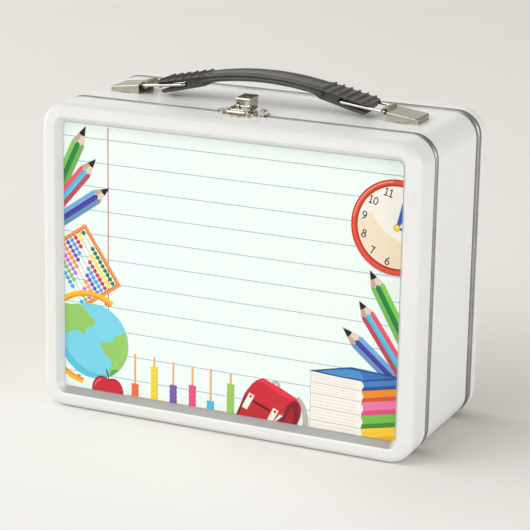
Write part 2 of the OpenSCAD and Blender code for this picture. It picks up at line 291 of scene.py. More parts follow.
def lathe(name, profile, base, axis=(0, 0, 1), segments=40):
    """Turns a profile of (radius, height) points about an axis through base."""
    turn = Vector((0, 0, 1)).rotation_difference(Vector(axis)).to_matrix()
    vertices = []
    for r, h in profile:
        for k in range(segments):
            a = 2 * math.pi * k / segments
            vertices.append(Vector(base) + turn @ Vector((r * math.cos(a), r * math.sin(a), h)))
    return build(name, vertices, grid_faces(len(profile), segments) + end_faces(len(profile), segments))


def prism(name, outline, low, high, to_world, bevel):
    """A flat outline given thickness. to_world turns (a, b, thickness) into a point."""
    n = len(outline)
    vertices = [to_world(a, b, t) for t in (low, high) for a, b in outline]
    return round_edges(build(name, vertices, grid_faces(2, n) + end_faces(2, n)), bevel)


def round_edges(piece, width, steps=2):
    """Rounds the sharper edges, before the normals are weighted."""
    piece.modifiers.clear()
    modify(piece, "edges", "BEVEL", width=width, segments=steps, limit_method="ANGLE",
           angle_limit=math.radians(35), harden_normals=False)
    modify(piece, "weights", "WEIGHTED_NORMAL", keep_sharp=True)
    return piece


def apply_modifiers(piece):
    """Bakes a piece's modifiers into its mesh."""
    graph = bpy.context.evaluated_depsgraph_get()
    mesh = bpy.data.meshes.new_from_object(piece.evaluated_get(graph))
    piece.modifiers.clear()
    piece.data = mesh
    return piece


def combine(piece, other, operation):
    """Fuses another piece with this one or cuts it out, and removes the other."""
    modify(piece, "combine", "BOOLEAN", operation=operation, solver="EXACT", object=other)
    bpy.context.view_layer.update()
    apply_modifiers(piece)
    bpy.data.objects.remove(other)


def refined(name, node, width, steps=2, cutter=None):
    """A copy of a CAD node with its flat faces made whole and its edges rounded, after an optional cut."""
    source = frame["nodes"][node].data
    if cutter:
        copy = add_object("uncut", source.copy(), weighted=False)
        combine(copy, cutter, "DIFFERENCE")
        source = copy.data
        bpy.data.objects.remove(copy)
    work = bmesh.new()
    work.from_mesh(source)
    bmesh.ops.remove_doubles(work, verts=work.verts, dist=0.002 * MM)
    bmesh.ops.dissolve_limit(work, angle_limit=math.radians(0.5), verts=work.verts, edges=work.edges)
    return round_edges(add_object(name, new_mesh(name, work)), width, steps)


# ---------- case ----------

def make_cover(name, face_y, edge_y):
    """A pressed cover. Its upper edge and the sunk wall get painted shade, made darker by a tone for each
    vertex.
    """
    section = pan_section(face_y, edge_y)
    cover = sweep(name, section, floors=True)
    tones = cover.data.attributes.new("tone", "FLOAT", "POINT")
    wall = range(7)
    # Painted shade: the rounded upper edge is darkened where it faces up, and the sunk wall is darkened most
    # on its lower side and less on its sides.
    edge_painted_shade = 0.45
    sill_painted_shade = 0.52
    side_painted_shade = 0.12
    for j, (_, _, dx, dz) in enumerate(ring_stations()):
        for k, (inset, y) in enumerate(section):
            across = max(EDGE_R - inset, 0) / EDGE_R
            along = max(EDGE_R - abs(y - face_y), 0) / EDGE_R
            tone = 1 - edge_painted_shade * across * along * max(dz, 0) ** 2
            if k in wall:
                tone = 1 - sill_painted_shade * max(-dz, 0) ** 4 - side_painted_shade * abs(dx) ** 4
            tones.data[j * len(section) + k].value = tone
    return cover


def make_band(name):
    """The painted tube round the case, with a lip turned in at each edge."""
    lip = 2.4 * MM
    bend = 0.8 * MM
    front = band_lo.y
    rear = band_hi.y
    section = arc((BAND_INSET + bend, rear - bend), bend, 90, 180, 6)
    section += arc((BAND_INSET + bend, front + bend), bend, 180, 270, 6)
    section += [(lip, front), (lip, front + SHEET)]
    section += arc((BAND_INSET + bend, front + bend), bend - SHEET, 270, 180, 4)
    section += arc((BAND_INSET + bend, rear - bend), bend - SHEET, 180, 90, 4)
    section += [(lip, rear - SHEET), (lip, rear)]
    return sweep(name, section)


def bead_section(y):
    sides = 20
    return arc((BEAD_R, y), BEAD_R, 0, 360 - 360 / sides, sides - 1)


def make_front_bead(name):
    """The front rim bead, open below the two hinge straps."""
    strap_lo, strap_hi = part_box("hinge_strap_right")
    gap = 0.3 * MM
    y = (bead_lo.y + bead_hi.y) / 2
    bottom_z = MID_Z - BOX_H / 2 + CORNER_R
    around = [(strap_hi.x + gap, bottom_z, 0, -1)] + ring_stations()
    around.append((-strap_hi.x - gap, bottom_z, 0, -1))
    middle = [(x, bottom_z, 0, -1) for x in (gap - strap_lo.x, 0, strap_lo.x - gap)]
    return join(name, [
        sweep("bead_around", bead_section(y), around, round_trip=False),
        sweep("bead_middle", bead_section(y), middle, round_trip=False)])


def build_case():
    """The band, the rear cover, the bare strips and the beads."""
    place(make_band("body_band_shell"), "case", "body_band")
    place(make_cover("rear_cover_shell", rear_hi.y, rear_lo.y), "case", "rear_cover")
    dip_front = (bead_lo.y - 0.2 * MM, band_lo.y + 1.4 * MM)
    front_neck = neck_section((2.2 * MM, neck_lo.y), dip_front, (BAND_INSET + SHEET, neck_hi.y))
    place(sweep("front_neck_strip", front_neck), "case", "front_neck_ring")
    dip_rear = (band_hi.y - 0.4 * MM, rear_bead_hi.y + 0.3 * MM)
    rear_neck = neck_section((BAND_INSET + SHEET, rear_neck_lo.y), dip_rear, (2 * SHEET, rear_neck_hi.y))
    place(sweep("rear_neck_strip", rear_neck), "case", "rear_neck_ring")
    place(make_front_bead("front_rim_roll"), "case", "front_rim_bead")
    rear_y = (rear_bead_lo.y + rear_bead_hi.y) / 2
    place(sweep("rear_rim_roll", bead_section(rear_y)), "case", "rear_rim_bead")


# ---------- front cover ----------

def build_front_cover():
    """The front cover, its two hinge straps, and the pin that they turn on."""
    place(make_cover("front_cover_shell", cover_lo.y, cover_hi.y), "cover", "front_cover")
    for side in ("left", "right"):
        strap = f"hinge_strap_{side}"
        place(refined(f"hinge_leaf_{side}", strap, 0.12 * MM), "cover", strap)
    lo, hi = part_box("hinge_pin")
    r = (hi.z - lo.z) / 2
    y = (lo.y + hi.y) / 2
    z = (lo.z + hi.z) / 2
    taper = 0.3 * MM
    stops = [lo.x, lo.x + taper] + [lo.x + (hi.x - lo.x) * i / 8 for i in range(1, 8)] + [hi.x - taper, hi.x]
    pin = tube("hinge_wire", [(x, y, z) for x in stops], r, round_ends=taper)
    place(pin, "case", "hinge_pin")


# ---------- handle ----------

GRIP_Y = (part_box("handle_grip")[0].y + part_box("handle_grip")[1].y) / 2
ARCH_R = 165 * MM
ARCH_HALF = math.radians(12.2)
STRAP_T = 4.8 * MM
ARCH_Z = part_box("handle_grip")[1].z - STRAP_T / 2
PAD_LEN = 29.3 * MM
PAD_HALF_W = 10 * MM
CORE_HALF_W = 6.9 * MM


def arch_point(angle, across, out):
    """A point on the handle's arch, by the angle from the top, the place across and the height."""
    r = ARCH_R + out
    return Vector((r * math.sin(angle), GRIP_Y + across, ARCH_Z - ARCH_R + r * math.cos(angle)))


def end_point(side, along, across, out):
    """A point on one straight end of the grip, by the distance from the arch's end."""
    c = math.cos(ARCH_HALF)
    s = math.sin(ARCH_HALF)
    start = arch_point(ARCH_HALF, 0, 0)
    x = start.x + along * c + out * s
    z = start.z - along * s + out * c
    return Vector((side * x, GRIP_Y + across, z))


def strap_section():
    """The strap's section, as one half and its mirror: two rounded rails with a shallow channel between."""
    upper = [(0, 1.75), (4.6, 1.75), (5.4, 2.0), (6.1, 2.32), (6.9, 2.4), (7.7, 2.25), (8.35, 1.8)]
    edge = [(8.7, 1.25), (8.72, 0.85), (8.45, 0.55), (8.15, 0.35), (8.1, 0.1), (8.4, -0.15), (8.85, -0.45),
            (9.0, -0.95)]
    lower = [(8.8, -1.55), (8.2, -2.05), (7.3, -2.35), (6.2, -2.4), (5.2, -2.1), (4.4, -1.9), (0, -1.9)]
    right = [(a * MM, b * MM) for a, b in upper + edge + lower]
    left = [(-a, b) for a, b in reversed(right[1:-1])]
    return right + left


def make_strap(name):
    """The strap along the arch. It runs a little into the straight ends."""
    section = strap_section()
    n = len(section)
    steps = 56
    reach = ARCH_HALF + math.radians(0.6)
    vertices = []
    for i in range(steps + 1):
        angle = -reach + 2 * reach * i / steps
        vertices += [arch_point(angle, across, out) for across, out in section]
    faces = grid_faces(steps + 1, n) + end_faces(steps + 1, n)
    return build(name, vertices, faces, sharp_deg=50)


def pad_top(along):
    """The height of the ribbed pad: shingles that rise outwards and drop at each step."""
    pitch = 4.8 * MM
    phase = ((along + 2.6 * MM) / pitch) % 1.0
    rise = 0.75 * MM
    base = 2.0 * MM
    ridge_from = 0.78
    ridge_full = 0.86
    ridge_to = 0.95
    foot = 0.28
    crest = 1.53
    if phase < ridge_from:
        return base + rise * 0.35 * phase
    if phase < ridge_full:
        up = (phase - ridge_from) / (ridge_full - ridge_from)
        return base + rise * (foot + (crest - foot) * math.sin(up * math.pi / 2))
    if phase < ridge_to:
        return base + rise * crest
    return base + rise * crest * (1 - (phase - ridge_to) / (1 - ridge_to))


def make_pad(name, side):
    """The ribbed pad, as a row of rounded sections."""
    start = -1.5 * MM
    steps = 150
    corner = 3 * MM
    underside = 1.3 * MM
    bulge = 0.25 * MM
    rows = []
    for i in range(steps + 1):
        along = start + (PAD_LEN - start) * i / steps
        past = max(0, along - (PAD_LEN - corner))
        half = PAD_HALF_W - corner + math.sqrt(max(corner ** 2 - past ** 2, 0.0))
        top = pad_top(along)
        if past > 0:
            top = min(top, underside + (top - underside) * (1 - 0.35 * (past / corner) ** 3))
        section = [(-half + 0.6 * MM, top), (-half + 0.2 * MM, top - 0.15 * MM), (-half, top - 0.5 * MM),
                   (-half, underside + bulge), (-half + bulge, underside)]
        section += [(-a, b) for a, b in reversed(section)]
        rows.append([end_point(side, along, across, out) for across, out in section])
    n = len(rows[0])
    vertices = [p for row in rows for p in row]
    return build(name, vertices, grid_faces(len(rows), n) + end_faces(len(rows), n))


def make_core(name, side):
    """The block under the pad, with the side slot for the wire loop and a mouth at its outer end."""
    jaw = [(-7, 1.6), (-7, -2.1), (-3.5, -2.7), (0, -4.2), (18, -4.9), (25.8, -5.0), (27.2, -4.5),
           (27.5, -3.7), (27.2, -2.95)]
    slot = [(11.6, -2.95), (11, -2.4), (11, -0.9), (11.6, -0.3), (26.5, -0.3)]
    mouth = [(26.5, -1.9), (28.2, -1.9), (28.7, -1.4), (28.7, 1.6)]
    points = [(a * MM, b * MM) for a, b in jaw + slot + mouth]
    return prism(name, points, -CORE_HALF_W, CORE_HALF_W, lambda a, b, t: end_point(side, a, t, b), 0.3 * MM)


def union(pieces, name):
    """Fuses closed pieces into one."""
    first = apply_modifiers(pieces[0])
    for other in pieces[1:]:
        combine(first, apply_modifiers(other), "UNION")
    work = bmesh.new()
    work.from_mesh(first.data)
    bmesh.ops.remove_doubles(work, verts=work.verts, dist=0.004 * MM)
    mesh = new_mesh(name, work)
    bpy.data.objects.remove(first)
    return add_object(name, mesh, sharp_deg=38)


def make_grip(name):
    """The moulded grip: the strap, and a ribbed pad on a slotted block at each end."""
    pieces = [make_strap("strap")]
    for side in (1, -1):
        pieces += [make_core("core", side), make_pad("pad", side)]
    return union(pieces, name)


def loop_frame(side):
    """A wire loop's barrel end and grip end, the wire's radius, and half the loop's width."""
    lo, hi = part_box("handle_loop_right")
    r = 0.85 * MM
    barrel = Vector((side * (hi.x - r), GRIP_Y, lo.z + r))
    bar = Vector((side * (lo.x + r), GRIP_Y, hi.z - r))
    return barrel, bar, r, (hi.y - lo.y) / 2 - r


def make_loop(name, side):
    """A closed wire ring with rounded corners, from the barrel to the slot in the grip."""
    barrel, bar, r, half = loop_frame(side)
    across = Vector((0, half, 0))
    corners = [barrel + across, bar + across, bar - across, barrel - across]
    return tube(name, rounded_path(corners, 1.8 * MM, closed=True, steps=8), r, closed=True, up=(0, 0.1, 1))


def make_bracket(name, side):
    """A pressed cap with an open inner end, a barrel rolled at that end, and two clinched tabs."""
    lo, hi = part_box("bracket_right")
    barrel = loop_frame(1)[0]
    half = (hi.y - lo.y) / 2
    base_z = band_hi.z
    t = 0.9 * MM
    x_in = 74 * MM
    x_out = 91.5 * MM
    h_in = 5.3 * MM
    h_out = 3 * MM
    centre_x = (x_in + x_out) / 2
    slope = (h_out - h_in) / (x_out - x_in)
    corner = 1.1 * MM
    edge = 0.75 * MM

    def world(x, y, z):
        return Vector((side * x, GRIP_Y + y, z))

    outline = [(x_in, half)] + arc((x_out - corner, half - corner), corner, 90, 0, 6)
    outline += [(x, -y) for x, y in reversed(outline)]
    levels = [(0.0, None)] + arc((edge, -edge), edge, 180, 90, 5)
    vertices = []
    for inset, drop in levels:
        for x, y in outline:
            at_x = x - inset if x > x_out - corner - 0.01 * MM and x > centre_x else x
            at_y = y - math.copysign(inset, y)
            top = base_z + h_in + slope * (at_x - x_in)
            vertices.append(world(at_x, at_y, base_z if drop is None else top + drop))
    n = len(outline)
    faces = grid_faces(len(levels), n, wrap_columns=False)
    faces.append(end_faces(len(levels), n)[1])
    cap = build("cap", vertices, faces)
    cap.modifiers.clear()
    modify(cap, "wall", "SOLIDIFY", thickness=t, offset=-1, use_even_offset=True)
    apply_modifiers(cap)
    curl_from = -58
    curl_to = 262
    curl = arc((0, 0), 2.3 * MM, curl_from, curl_to, 30) + arc((0, 0), 1.45 * MM, curl_to, curl_from, 30)
    barrel_half = 6.5 * MM
    roll = prism("roll", curl, -barrel_half, barrel_half,
                 lambda a, b, s: world(barrel.x + a, s, barrel.z + b), 0.18 * MM)
    pieces = [cap, apply_modifiers(roll)]
    under = base_z - SHEET - 0.05 * MM - t
    top = base_z + 0.4 * MM
    tab_half = 3.5 * MM
    for way in (-1, 1):
        outer = way * half
        inner = way * (half - t)
        toe = way * (half - 4.2 * MM)
        leg = [(inner, top), (outer, top), (outer, under)]
        foot = [(toe, under), (toe, under + t), (inner, under + t)]
        tab = prism("tab", leg + foot, centre_x - tab_half, centre_x + tab_half,
                    lambda a, b, s: world(s, a, b), 0.15 * MM)
        pieces.append(apply_modifiers(tab))
    return join(name, pieces)


def build_handle():
    """The grip, the wire loops and the brackets."""
    place(make_grip("handle_grip_moulding"), "grip", "handle_grip")
    for side, word in ((-1, "left"), (1, "right")):
        place(make_loop(f"handle_wire_{word}", side), f"loop_{word}", f"handle_loop_{word}")
        place(make_bracket(f"handle_bracket_{word}", side), "case", f"bracket_{word}")


# ---------- latch ----------

LATCH_X = (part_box("latch_lever")[0].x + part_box("latch_lever")[1].x) / 2


def make_rivets(name, node):
    """Two domed rivets with their set heads inside."""
    lo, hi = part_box(node)
    head_r = 1.9 * MM
    dome_h = 0.8 * MM
    y = (lo.y + hi.y) / 2
    ball = (head_r ** 2 + dome_h ** 2) / (2 * dome_h)
    dome = []
    for k in range(9):
        r = head_r * (1 - k / 8)
        dome.append((max(r, 0.02 * MM), hi.z - ball + math.sqrt(ball ** 2 - r ** 2)))
    tail = [(r * MM, lo.z + h * MM) for r, h in
            ((0.05, 0), (1.3, 0), (1.5, 0.2), (1.5, 0.5), (1.4, 0.6), (0.9, 0.6))]
    tail.append((0.9 * MM, hi.z - dome_h))
    return join(name, [lathe("rivet", tail + dome, (x, y, 0)) for x in (lo.x + head_r, hi.x - head_r)])


def make_bail(name):
    """The wire bail: two stubs in the lever, two legs and a crossbar."""
    lo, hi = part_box("latch_bail")
    r = 0.7 * MM
    half = (hi.x - lo.x) / 2 - r
    pivot = Vector((LATCH_X, hi.y - r, hi.z - r))
    front = Vector((LATCH_X, lo.y + r, lo.z + r))
    stub = 3.45 * MM
    out = Vector((half, 0, 0))
    inner = Vector((stub, 0, 0))
    corners = [pivot - inner, pivot - out, front - out, front + out, pivot + out, pivot + inner]
    return tube(name, rounded_path(corners, 1.3 * MM, steps=7), r, up=(0, 0.05, 1), round_ends=0.15 * MM)


def make_lever(name):
    """The lever's channel, with a small hole through both its sides."""
    lo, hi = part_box("latch_lever")
    half = (hi.x - lo.x) / 2 + MM
    hole_r = 0.45 * MM
    at = (LATCH_X, -19.2 * MM, 180.2 * MM)
    hole = lathe("hole", [(hole_r, -half), (hole_r, half)], at, axis=(1, 0, 0), segments=16)
    return refined(name, "latch_lever", 0.2 * MM, 3, cutter=hole)


def build_latch():
    """The two plates, the lever with its pin, the rivets and the bail."""
    place(refined("latch_base_plate", "latch_base", 0.16 * MM), "case", "latch_base")
    place(refined("latch_strike_plate", "latch_strike", 0.16 * MM), "cover", "latch_strike")
    place(make_lever("latch_lever_channel"), "lever", "latch_lever")
    place(refined("latch_pin", "latch_pivot_pin", 0.12 * MM), "case", "latch_pivot_pin")
    place(make_rivets("latch_base_rivet_heads", "latch_base_rivets"), "case", "latch_base_rivets")
    place(make_rivets("latch_strike_rivet_heads", "strike_rivets"), "cover", "strike_rivets")
    place(make_bail("latch_bail_wire"), "bail", "latch_bail")


# ---------- printed insert ----------

def linear(red, green, blue):
    """A screen colour, 0 to 255, as the linear colour that a shader takes."""
    return tuple(((c / 255 + 0.055) / 1.055) ** 2.4 for c in (red, green, blue))


INK = linear(34, 30, 32)
RULE = linear(112, 156, 192)
MINT = linear(238, 250, 246)
WOOD = linear(232, 208, 190)
WOOD_SHADE = linear(196, 170, 146)
ORANGE = linear(240, 152, 78)
ORANGE_SHADE = linear(192, 104, 48)
AMBER = linear(252, 190, 48)
AMBER_SHADE = linear(234, 146, 38)
RED = linear(212, 40, 56)
RED_SHADE = linear(140, 32, 46)
GREEN = linear(34, 142, 66)
LEAF = linear(150, 204, 104)
SKY = linear(88, 198, 232)
VIOLET = linear(78, 66, 168)
CREAM = linear(248, 244, 236)


def shaded(colour, factor):
    return tuple(c * factor for c in colour)


def ring_path(centre, wide, tall, steps=16):
    """A closed oval path."""
    angles = [2 * math.pi * k / steps for k in range(steps + 1)]
    return [(centre[0] + wide * math.cos(a), centre[1] + tall * math.sin(a)) for a in angles]


def bow(centre, radius, start, end, steps=16, tall=1.0):
    """Points on an arc in the artwork, angles in degrees."""
    return [(x, centre[1] + (y - centre[1]) * tall) for x, y in arc(centre, radius, start, end, steps)]


class Artwork:
    """Flat shapes in millimetres from the sheet's lower left corner, each printed over those before it."""

    def __init__(self):
        self.shapes = []

    def area(self, colour, points):
        """A filled outline, turned anticlockwise."""
        points = [Vector(p) for p in points]
        turn = sum(a.cross(b) for a, b in zip(points, points[1:] + points[:1]))
        self.shapes.append((colour, points if turn > 0 else points[::-1]))

    def box(self, colour, left, low, right, high):
        self.area(colour, [(left, low), (right, low), (right, high), (left, high)])

    def disc(self, colour, centre, radius, tall=1.0, steps=28):
        self.area(colour, ring_path(centre, radius, radius * tall, steps)[:-1])

    def line(self, colour, path, width, end_width=None):
        """A line along a path, which may narrow towards its end."""
        path = [Vector(p) for p in path]
        end_width = width if end_width is None else end_width
        left = []
        right = []
        for i, at in enumerate(path):
            before = path[max(i - 1, 0)]
            after = path[min(i + 1, len(path) - 1)]
            if (path[0] - path[-1]).length < 0.001 and i in (0, len(path) - 1):
                before = path[-2]
                after = path[1]
            run = (after - before).normalized()
            half = (width + (end_width - width) * i / (len(path) - 1)) / 2
            side = Vector((-run.y, run.x)) * half
            left.append(at + side)
            right.append(at - side)
        self.area(colour, left + right[::-1])

    def blob(self, colour, points, steps=4):
        """A smooth closed shape through a few points."""
        points = [Vector(p) for p in points]
        count = len(points)
        found = []
        for i in range(count):
            a, b, c, d = (points[(i + k) % count] for k in (-1, 0, 1, 2))
            for k in range(steps):
                t = k / steps
                found.append((2 * b + (c - a) * t + (2 * a - 5 * b + 4 * c - d) * t ** 2
                              + (3 * b - a - 3 * c + d) * t ** 3) / 2)
        self.area(colour, found)


def draw_pencil(art, tip, cone_base, tones):
    """A pencil that runs off the sheet. tones are the colours of its three long faces, side by side."""
    tip = Vector(tip)
    base = Vector(cone_base)
    along = (base - tip).normalized()
    side = Vector((along.y, -along.x))
    cone = (base - tip).length
    half = 4.1
    body = 60
    lead = 0.5

    def at(down, across):
        return tip + along * down + side * across

    art.area(WOOD, [at(0, 0), at(cone, half), at(cone, -half)])
    art.area(WOOD_SHADE, [at(0, 0), at(cone, half), at(cone, 0.5)])
    lead_end = cone * lead
    lead_half = half * lead
    art.area(INK, [at(-0.3, 0), at(lead_end, lead_half), at(lead_end + 0.5, 0), at(lead_end, -lead_half)])
    edges = [-half, -1.4, 1.5, half]
    for tone, low, high in zip(tones, edges, edges[1:]):
        middle = (low + high) / 2
        art.area(tone, [at(cone + 0.6, low), at(cone - 0.5, middle - 0.4), at(cone - 0.5, middle + 0.4),
                        at(cone + 0.6, high), at(body, high), at(body, low)])
    art.area(shaded(tones[1], 0.8), [at(cone, 0.4), at(cone + 0.6, 1.5), at(body, 1.5), at(body, 0.4)])


def draw_pencils(art):
    """Three pencils at the upper left."""
    draw_pencil(art, (13.7, 150.5), (9.1, 140.7), [linear(118, 172, 88), GREEN, linear(134, 198, 98)])
    draw_pencil(art, (19.9, 132.8), (13.5, 125.4), [linear(190, 76, 96), SKY, linear(234, 92, 116)])
    draw_pencil(art, (27.9, 117.2), (20.6, 112.1), [linear(104, 150, 184), VIOLET, linear(116, 172, 216)])


def draw_pencils_right(art):
    """Three pencils at the lower right, behind the books."""
    draw_pencil(art, (168.1, 58.6), (175.9, 52.2), [linear(112, 174, 222), VIOLET, linear(98, 152, 194)])
    draw_pencil(art, (176.9, 74.4), (181.8, 67.5), [linear(232, 90, 116), SKY, linear(190, 72, 94)])
    draw_pencil(art, (182.4, 91.9), (186.9, 84), [linear(134, 206, 84), GREEN, linear(122, 188, 90)])


def draw_abacus(art):
    """A counting frame: an orange border, and ten beads on each wire."""
    corner = Vector((13.3, 95.6))
    along = Vector((22.3, -32.8))
    length = along.length
    along.normalize()
    across = Vector((along.y, -along.x))
    bar = 2.2
    depth = 34

    def at(a, b):
        return corner + along * a + across * b

    far = length - bar
    shade = 0.5
    for tone, a0, a1, b0, b1 in (
            (ORANGE, 0, bar, 0, depth), (ORANGE, far, length, 0, depth), (ORANGE, 0, length, 0, bar),
            (ORANGE_SHADE, bar - shade, bar, bar, depth), (ORANGE_SHADE, far, far + shade, bar, depth),
            (ORANGE_SHADE, bar, far, bar - shade, bar)):
        art.area(tone, [at(a0, b0), at(a1, b0), at(a1, b1), at(a0, b1)])
    bead = 2.75
    tones = [linear(28, 124, 48), linear(250, 224, 72), linear(208, 44, 78), linear(62, 160, 226),
             linear(120, 60, 190), linear(242, 150, 50), linear(214, 92, 222), linear(112, 198, 84),
             linear(58, 160, 224)]
    for row, tone in enumerate(tones):
        b = bar + 1.9 + 2.95 * row
        art.line(linear(214, 152, 116), [at(bar, b), at(far, b)], 0.32)
        first = row + 1
        glint = tuple(min(1, c * 1.5 + 0.12) for c in tone)
        for k in range(10):
            a = bar + bead * (k + 0.55) if k < first else far - bead * (9 - k + 0.55)
            art.disc(tone, at(a, b), 1.28, steps=14)
            art.disc(glint, at(a, b) + Vector((-0.35, 0.4)), 0.4, steps=8)


def draw_globe(art):
    """A globe on a curved stand, cut off by the sheet's left edge."""
    centre = (18.2, 28.4)
    radius = 21.8
    hub = (15, 29.8)
    for turn in (60, 252):
        art.line(linear(150, 104, 70), bow(hub, 24.6, turn, turn + 5, 3), 2.6)
    art.line(AMBER, bow(hub, 25.9, 55, 262, 44), 3.4)
    art.line(AMBER_SHADE, bow(hub, 24.9, 55, 262, 44), 0.9)
    art.disc(linear(122, 212, 232), centre, radius, steps=64)
    art.area(linear(94, 196, 224), bow(centre, radius, 168, 300, 30) + bow((22, 34), 24.4, 286, 183, 30))
    art.blob(LEAF, [(-1, 46.5), (4, 48.2), (9.5, 49), (12, 46.8), (14.7, 44.5), (16, 42.4), (18.7, 41.4),
                    (18.9, 38.6), (16.8, 36.4), (13.6, 36), (12.8, 33), (11.4, 31.4), (9.8, 33),
                    (6.6, 33.4), (3.4, 31.8), (-1, 32)])
    art.blob(LEAF, [(32.6, 34.2), (34.6, 33.8), (37.3, 36.3), (39.6, 32), (39.9, 26), (38.4, 20),
                    (35.4, 14.8), (31.6, 11.2), (28.8, 9.4), (27.4, 12.2), (29.2, 15), (29.2, 17.8),
                    (27.8, 20.2), (24.6, 22.4), (23.8, 25), (21.8, 27), (25.4, 28.9), (28.6, 29),
                    (30.6, 31)])
    art.area(linear(84, 172, 76), bow(centre, radius, 297, 318, 6) + [(30, 13.4), (28.2, 11)])
    art.line(linear(166, 214, 150), bow((2, 40), 38, -40, -8, 12), 0.35)


def draw_apple(art):
    """A red apple that stands on the sheet's lower edge."""
    for tone, grow in ((RED_SHADE, 0.5), (RED, 0)):
        art.disc(tone, (23.4, 0.6), 5.9 + grow, 1.3, 40)
        art.disc(tone, (30.5, 0), 5.9 + grow, 1.3, 40)
    art.line(linear(246, 130, 140), bow((23.4, 0.6), 4.9, 100, 165, 8, 1.25), 0.9, 0.2)
    art.line(linear(96, 66, 84), [(27.5, 6.6), (27.4, 8.8), (26.9, 11), (26, 13)], 0.7, 1)


def draw_counting_rods(art):
    """Sticks that carry stacks of coloured beads."""
    stacks = [(44.2, 25, 7.6, linear(240, 118, 62)), (56.2, 24.7, 19.5, linear(248, 216, 70)),
              (68, 23.8, 10.6, linear(124, 94, 174)), (79.8, 23.2, 12.3, linear(238, 82, 134)),
              (90.9, 23.4, 5.1, linear(82, 190, 232)), (103, 22.8, 16.8, linear(162, 204, 94))]
    art.box(linear(238, 206, 166), 39, -1, 108, 0.45)
    bead = 2.45
    half = 2.3
    ease = 0.45
    stick = 0.65
    for u, stick_top, stack_top, tone in stacks:
        art.box(linear(240, 190, 130), u - stick, 0, u + stick, stick_top)
        art.box(linear(214, 158, 100), u + 0.15, 0, u + stick, stick_top)
        count = round(stack_top / bead)
        tall = stack_top / count
        shade = shaded(tone, 0.84)
        for k in range(count):
            low = tall * k
            high = tall * (k + 1)
            side = [(half - ease, high), (half, high - ease), (half, low + ease), (half - ease, low)]
            art.area(tone, [(u - x, y) for x, y in side] + [(u + x, y) for x, y in reversed(side)])
            art.area(shade, [(u + 1.3, low + 0.1), (u + half, low + ease), (u + half, high - ease),
                             (u + 1.3, high - 0.1)])
            art.box(shade, u - 2, low, u + 2, low + 0.35)


def draw_satchel(art):
    """A school satchel lying on its side, with two buckled straps."""
    grey = linear(190, 184, 178)
    art.line(grey, bow((130, 19.8), 1.7, 200, -20, 10, 1.4), 2)
    art.line(grey, bow((139.6, 2), 8.2, 70, -20, 14, 1.65), 3.2, 3.6)
    art.area(linear(198, 42, 54), [(106.4, -1), (111.9, 13), (134, 6), (128, -2)])
    art.area(RED_SHADE, [(106.2, -1), (111.5, 12.6), (112.9, 13), (107.6, -1)])
    art.area(linear(168, 36, 50), [(128, -2), (134, 3), (136.8, 10.6)]
             + bow((140.6, 8.4), 4.6, 140, 0, 12, 1.3) + [(145, 5), (142.3, -2)])
    art.area(linear(128, 30, 42), [(131, -2), (134.2, 3), (136.8, 10.6)]
             + bow((140.2, 8.4), 3.6, 130, 10, 10, 1.3)
             + [(143.6, 4), (141.6, -2), (139.6, -2), (141.4, 5.4), (139.6, 9.8), (136.6, 4), (134, -2)])
    art.area(linear(206, 44, 58), [(111.5, 13), (115.7, 18.8), (118.4, 21.4), (122.5, 23.2), (133.5, 18.8),
                                   (143.4, 14.2), (139.4, 12.4), (136.6, 9.4), (134, 3.4), (126.8, 6.2),
                                   (117.2, 9.8), (112.6, 12)])
    art.area(linear(240, 52, 68), [(118.4, 21.4), (122.5, 23.3), (133.5, 18.9), (143.5, 14.2), (139.6, 13),
                                   (132, 15.8), (123, 20.4)])
    art.area(linear(104, 30, 36), [(116.8, 9.9), (126.9, 6), (126.4, 4.4), (116.4, 8.5)])
    for u, v in ((115.7, 12.9), (130.2, 6.4)):
        art.area(CREAM, [(u - 1.4, v + 0.8), (u + 1.7, v - 0.6), (u - 2.8, v - 9.2), (u - 5.8, v - 8)])
        art.disc(linear(170, 40, 62), (u - 0.5, v - 1.3), 0.8, steps=12)


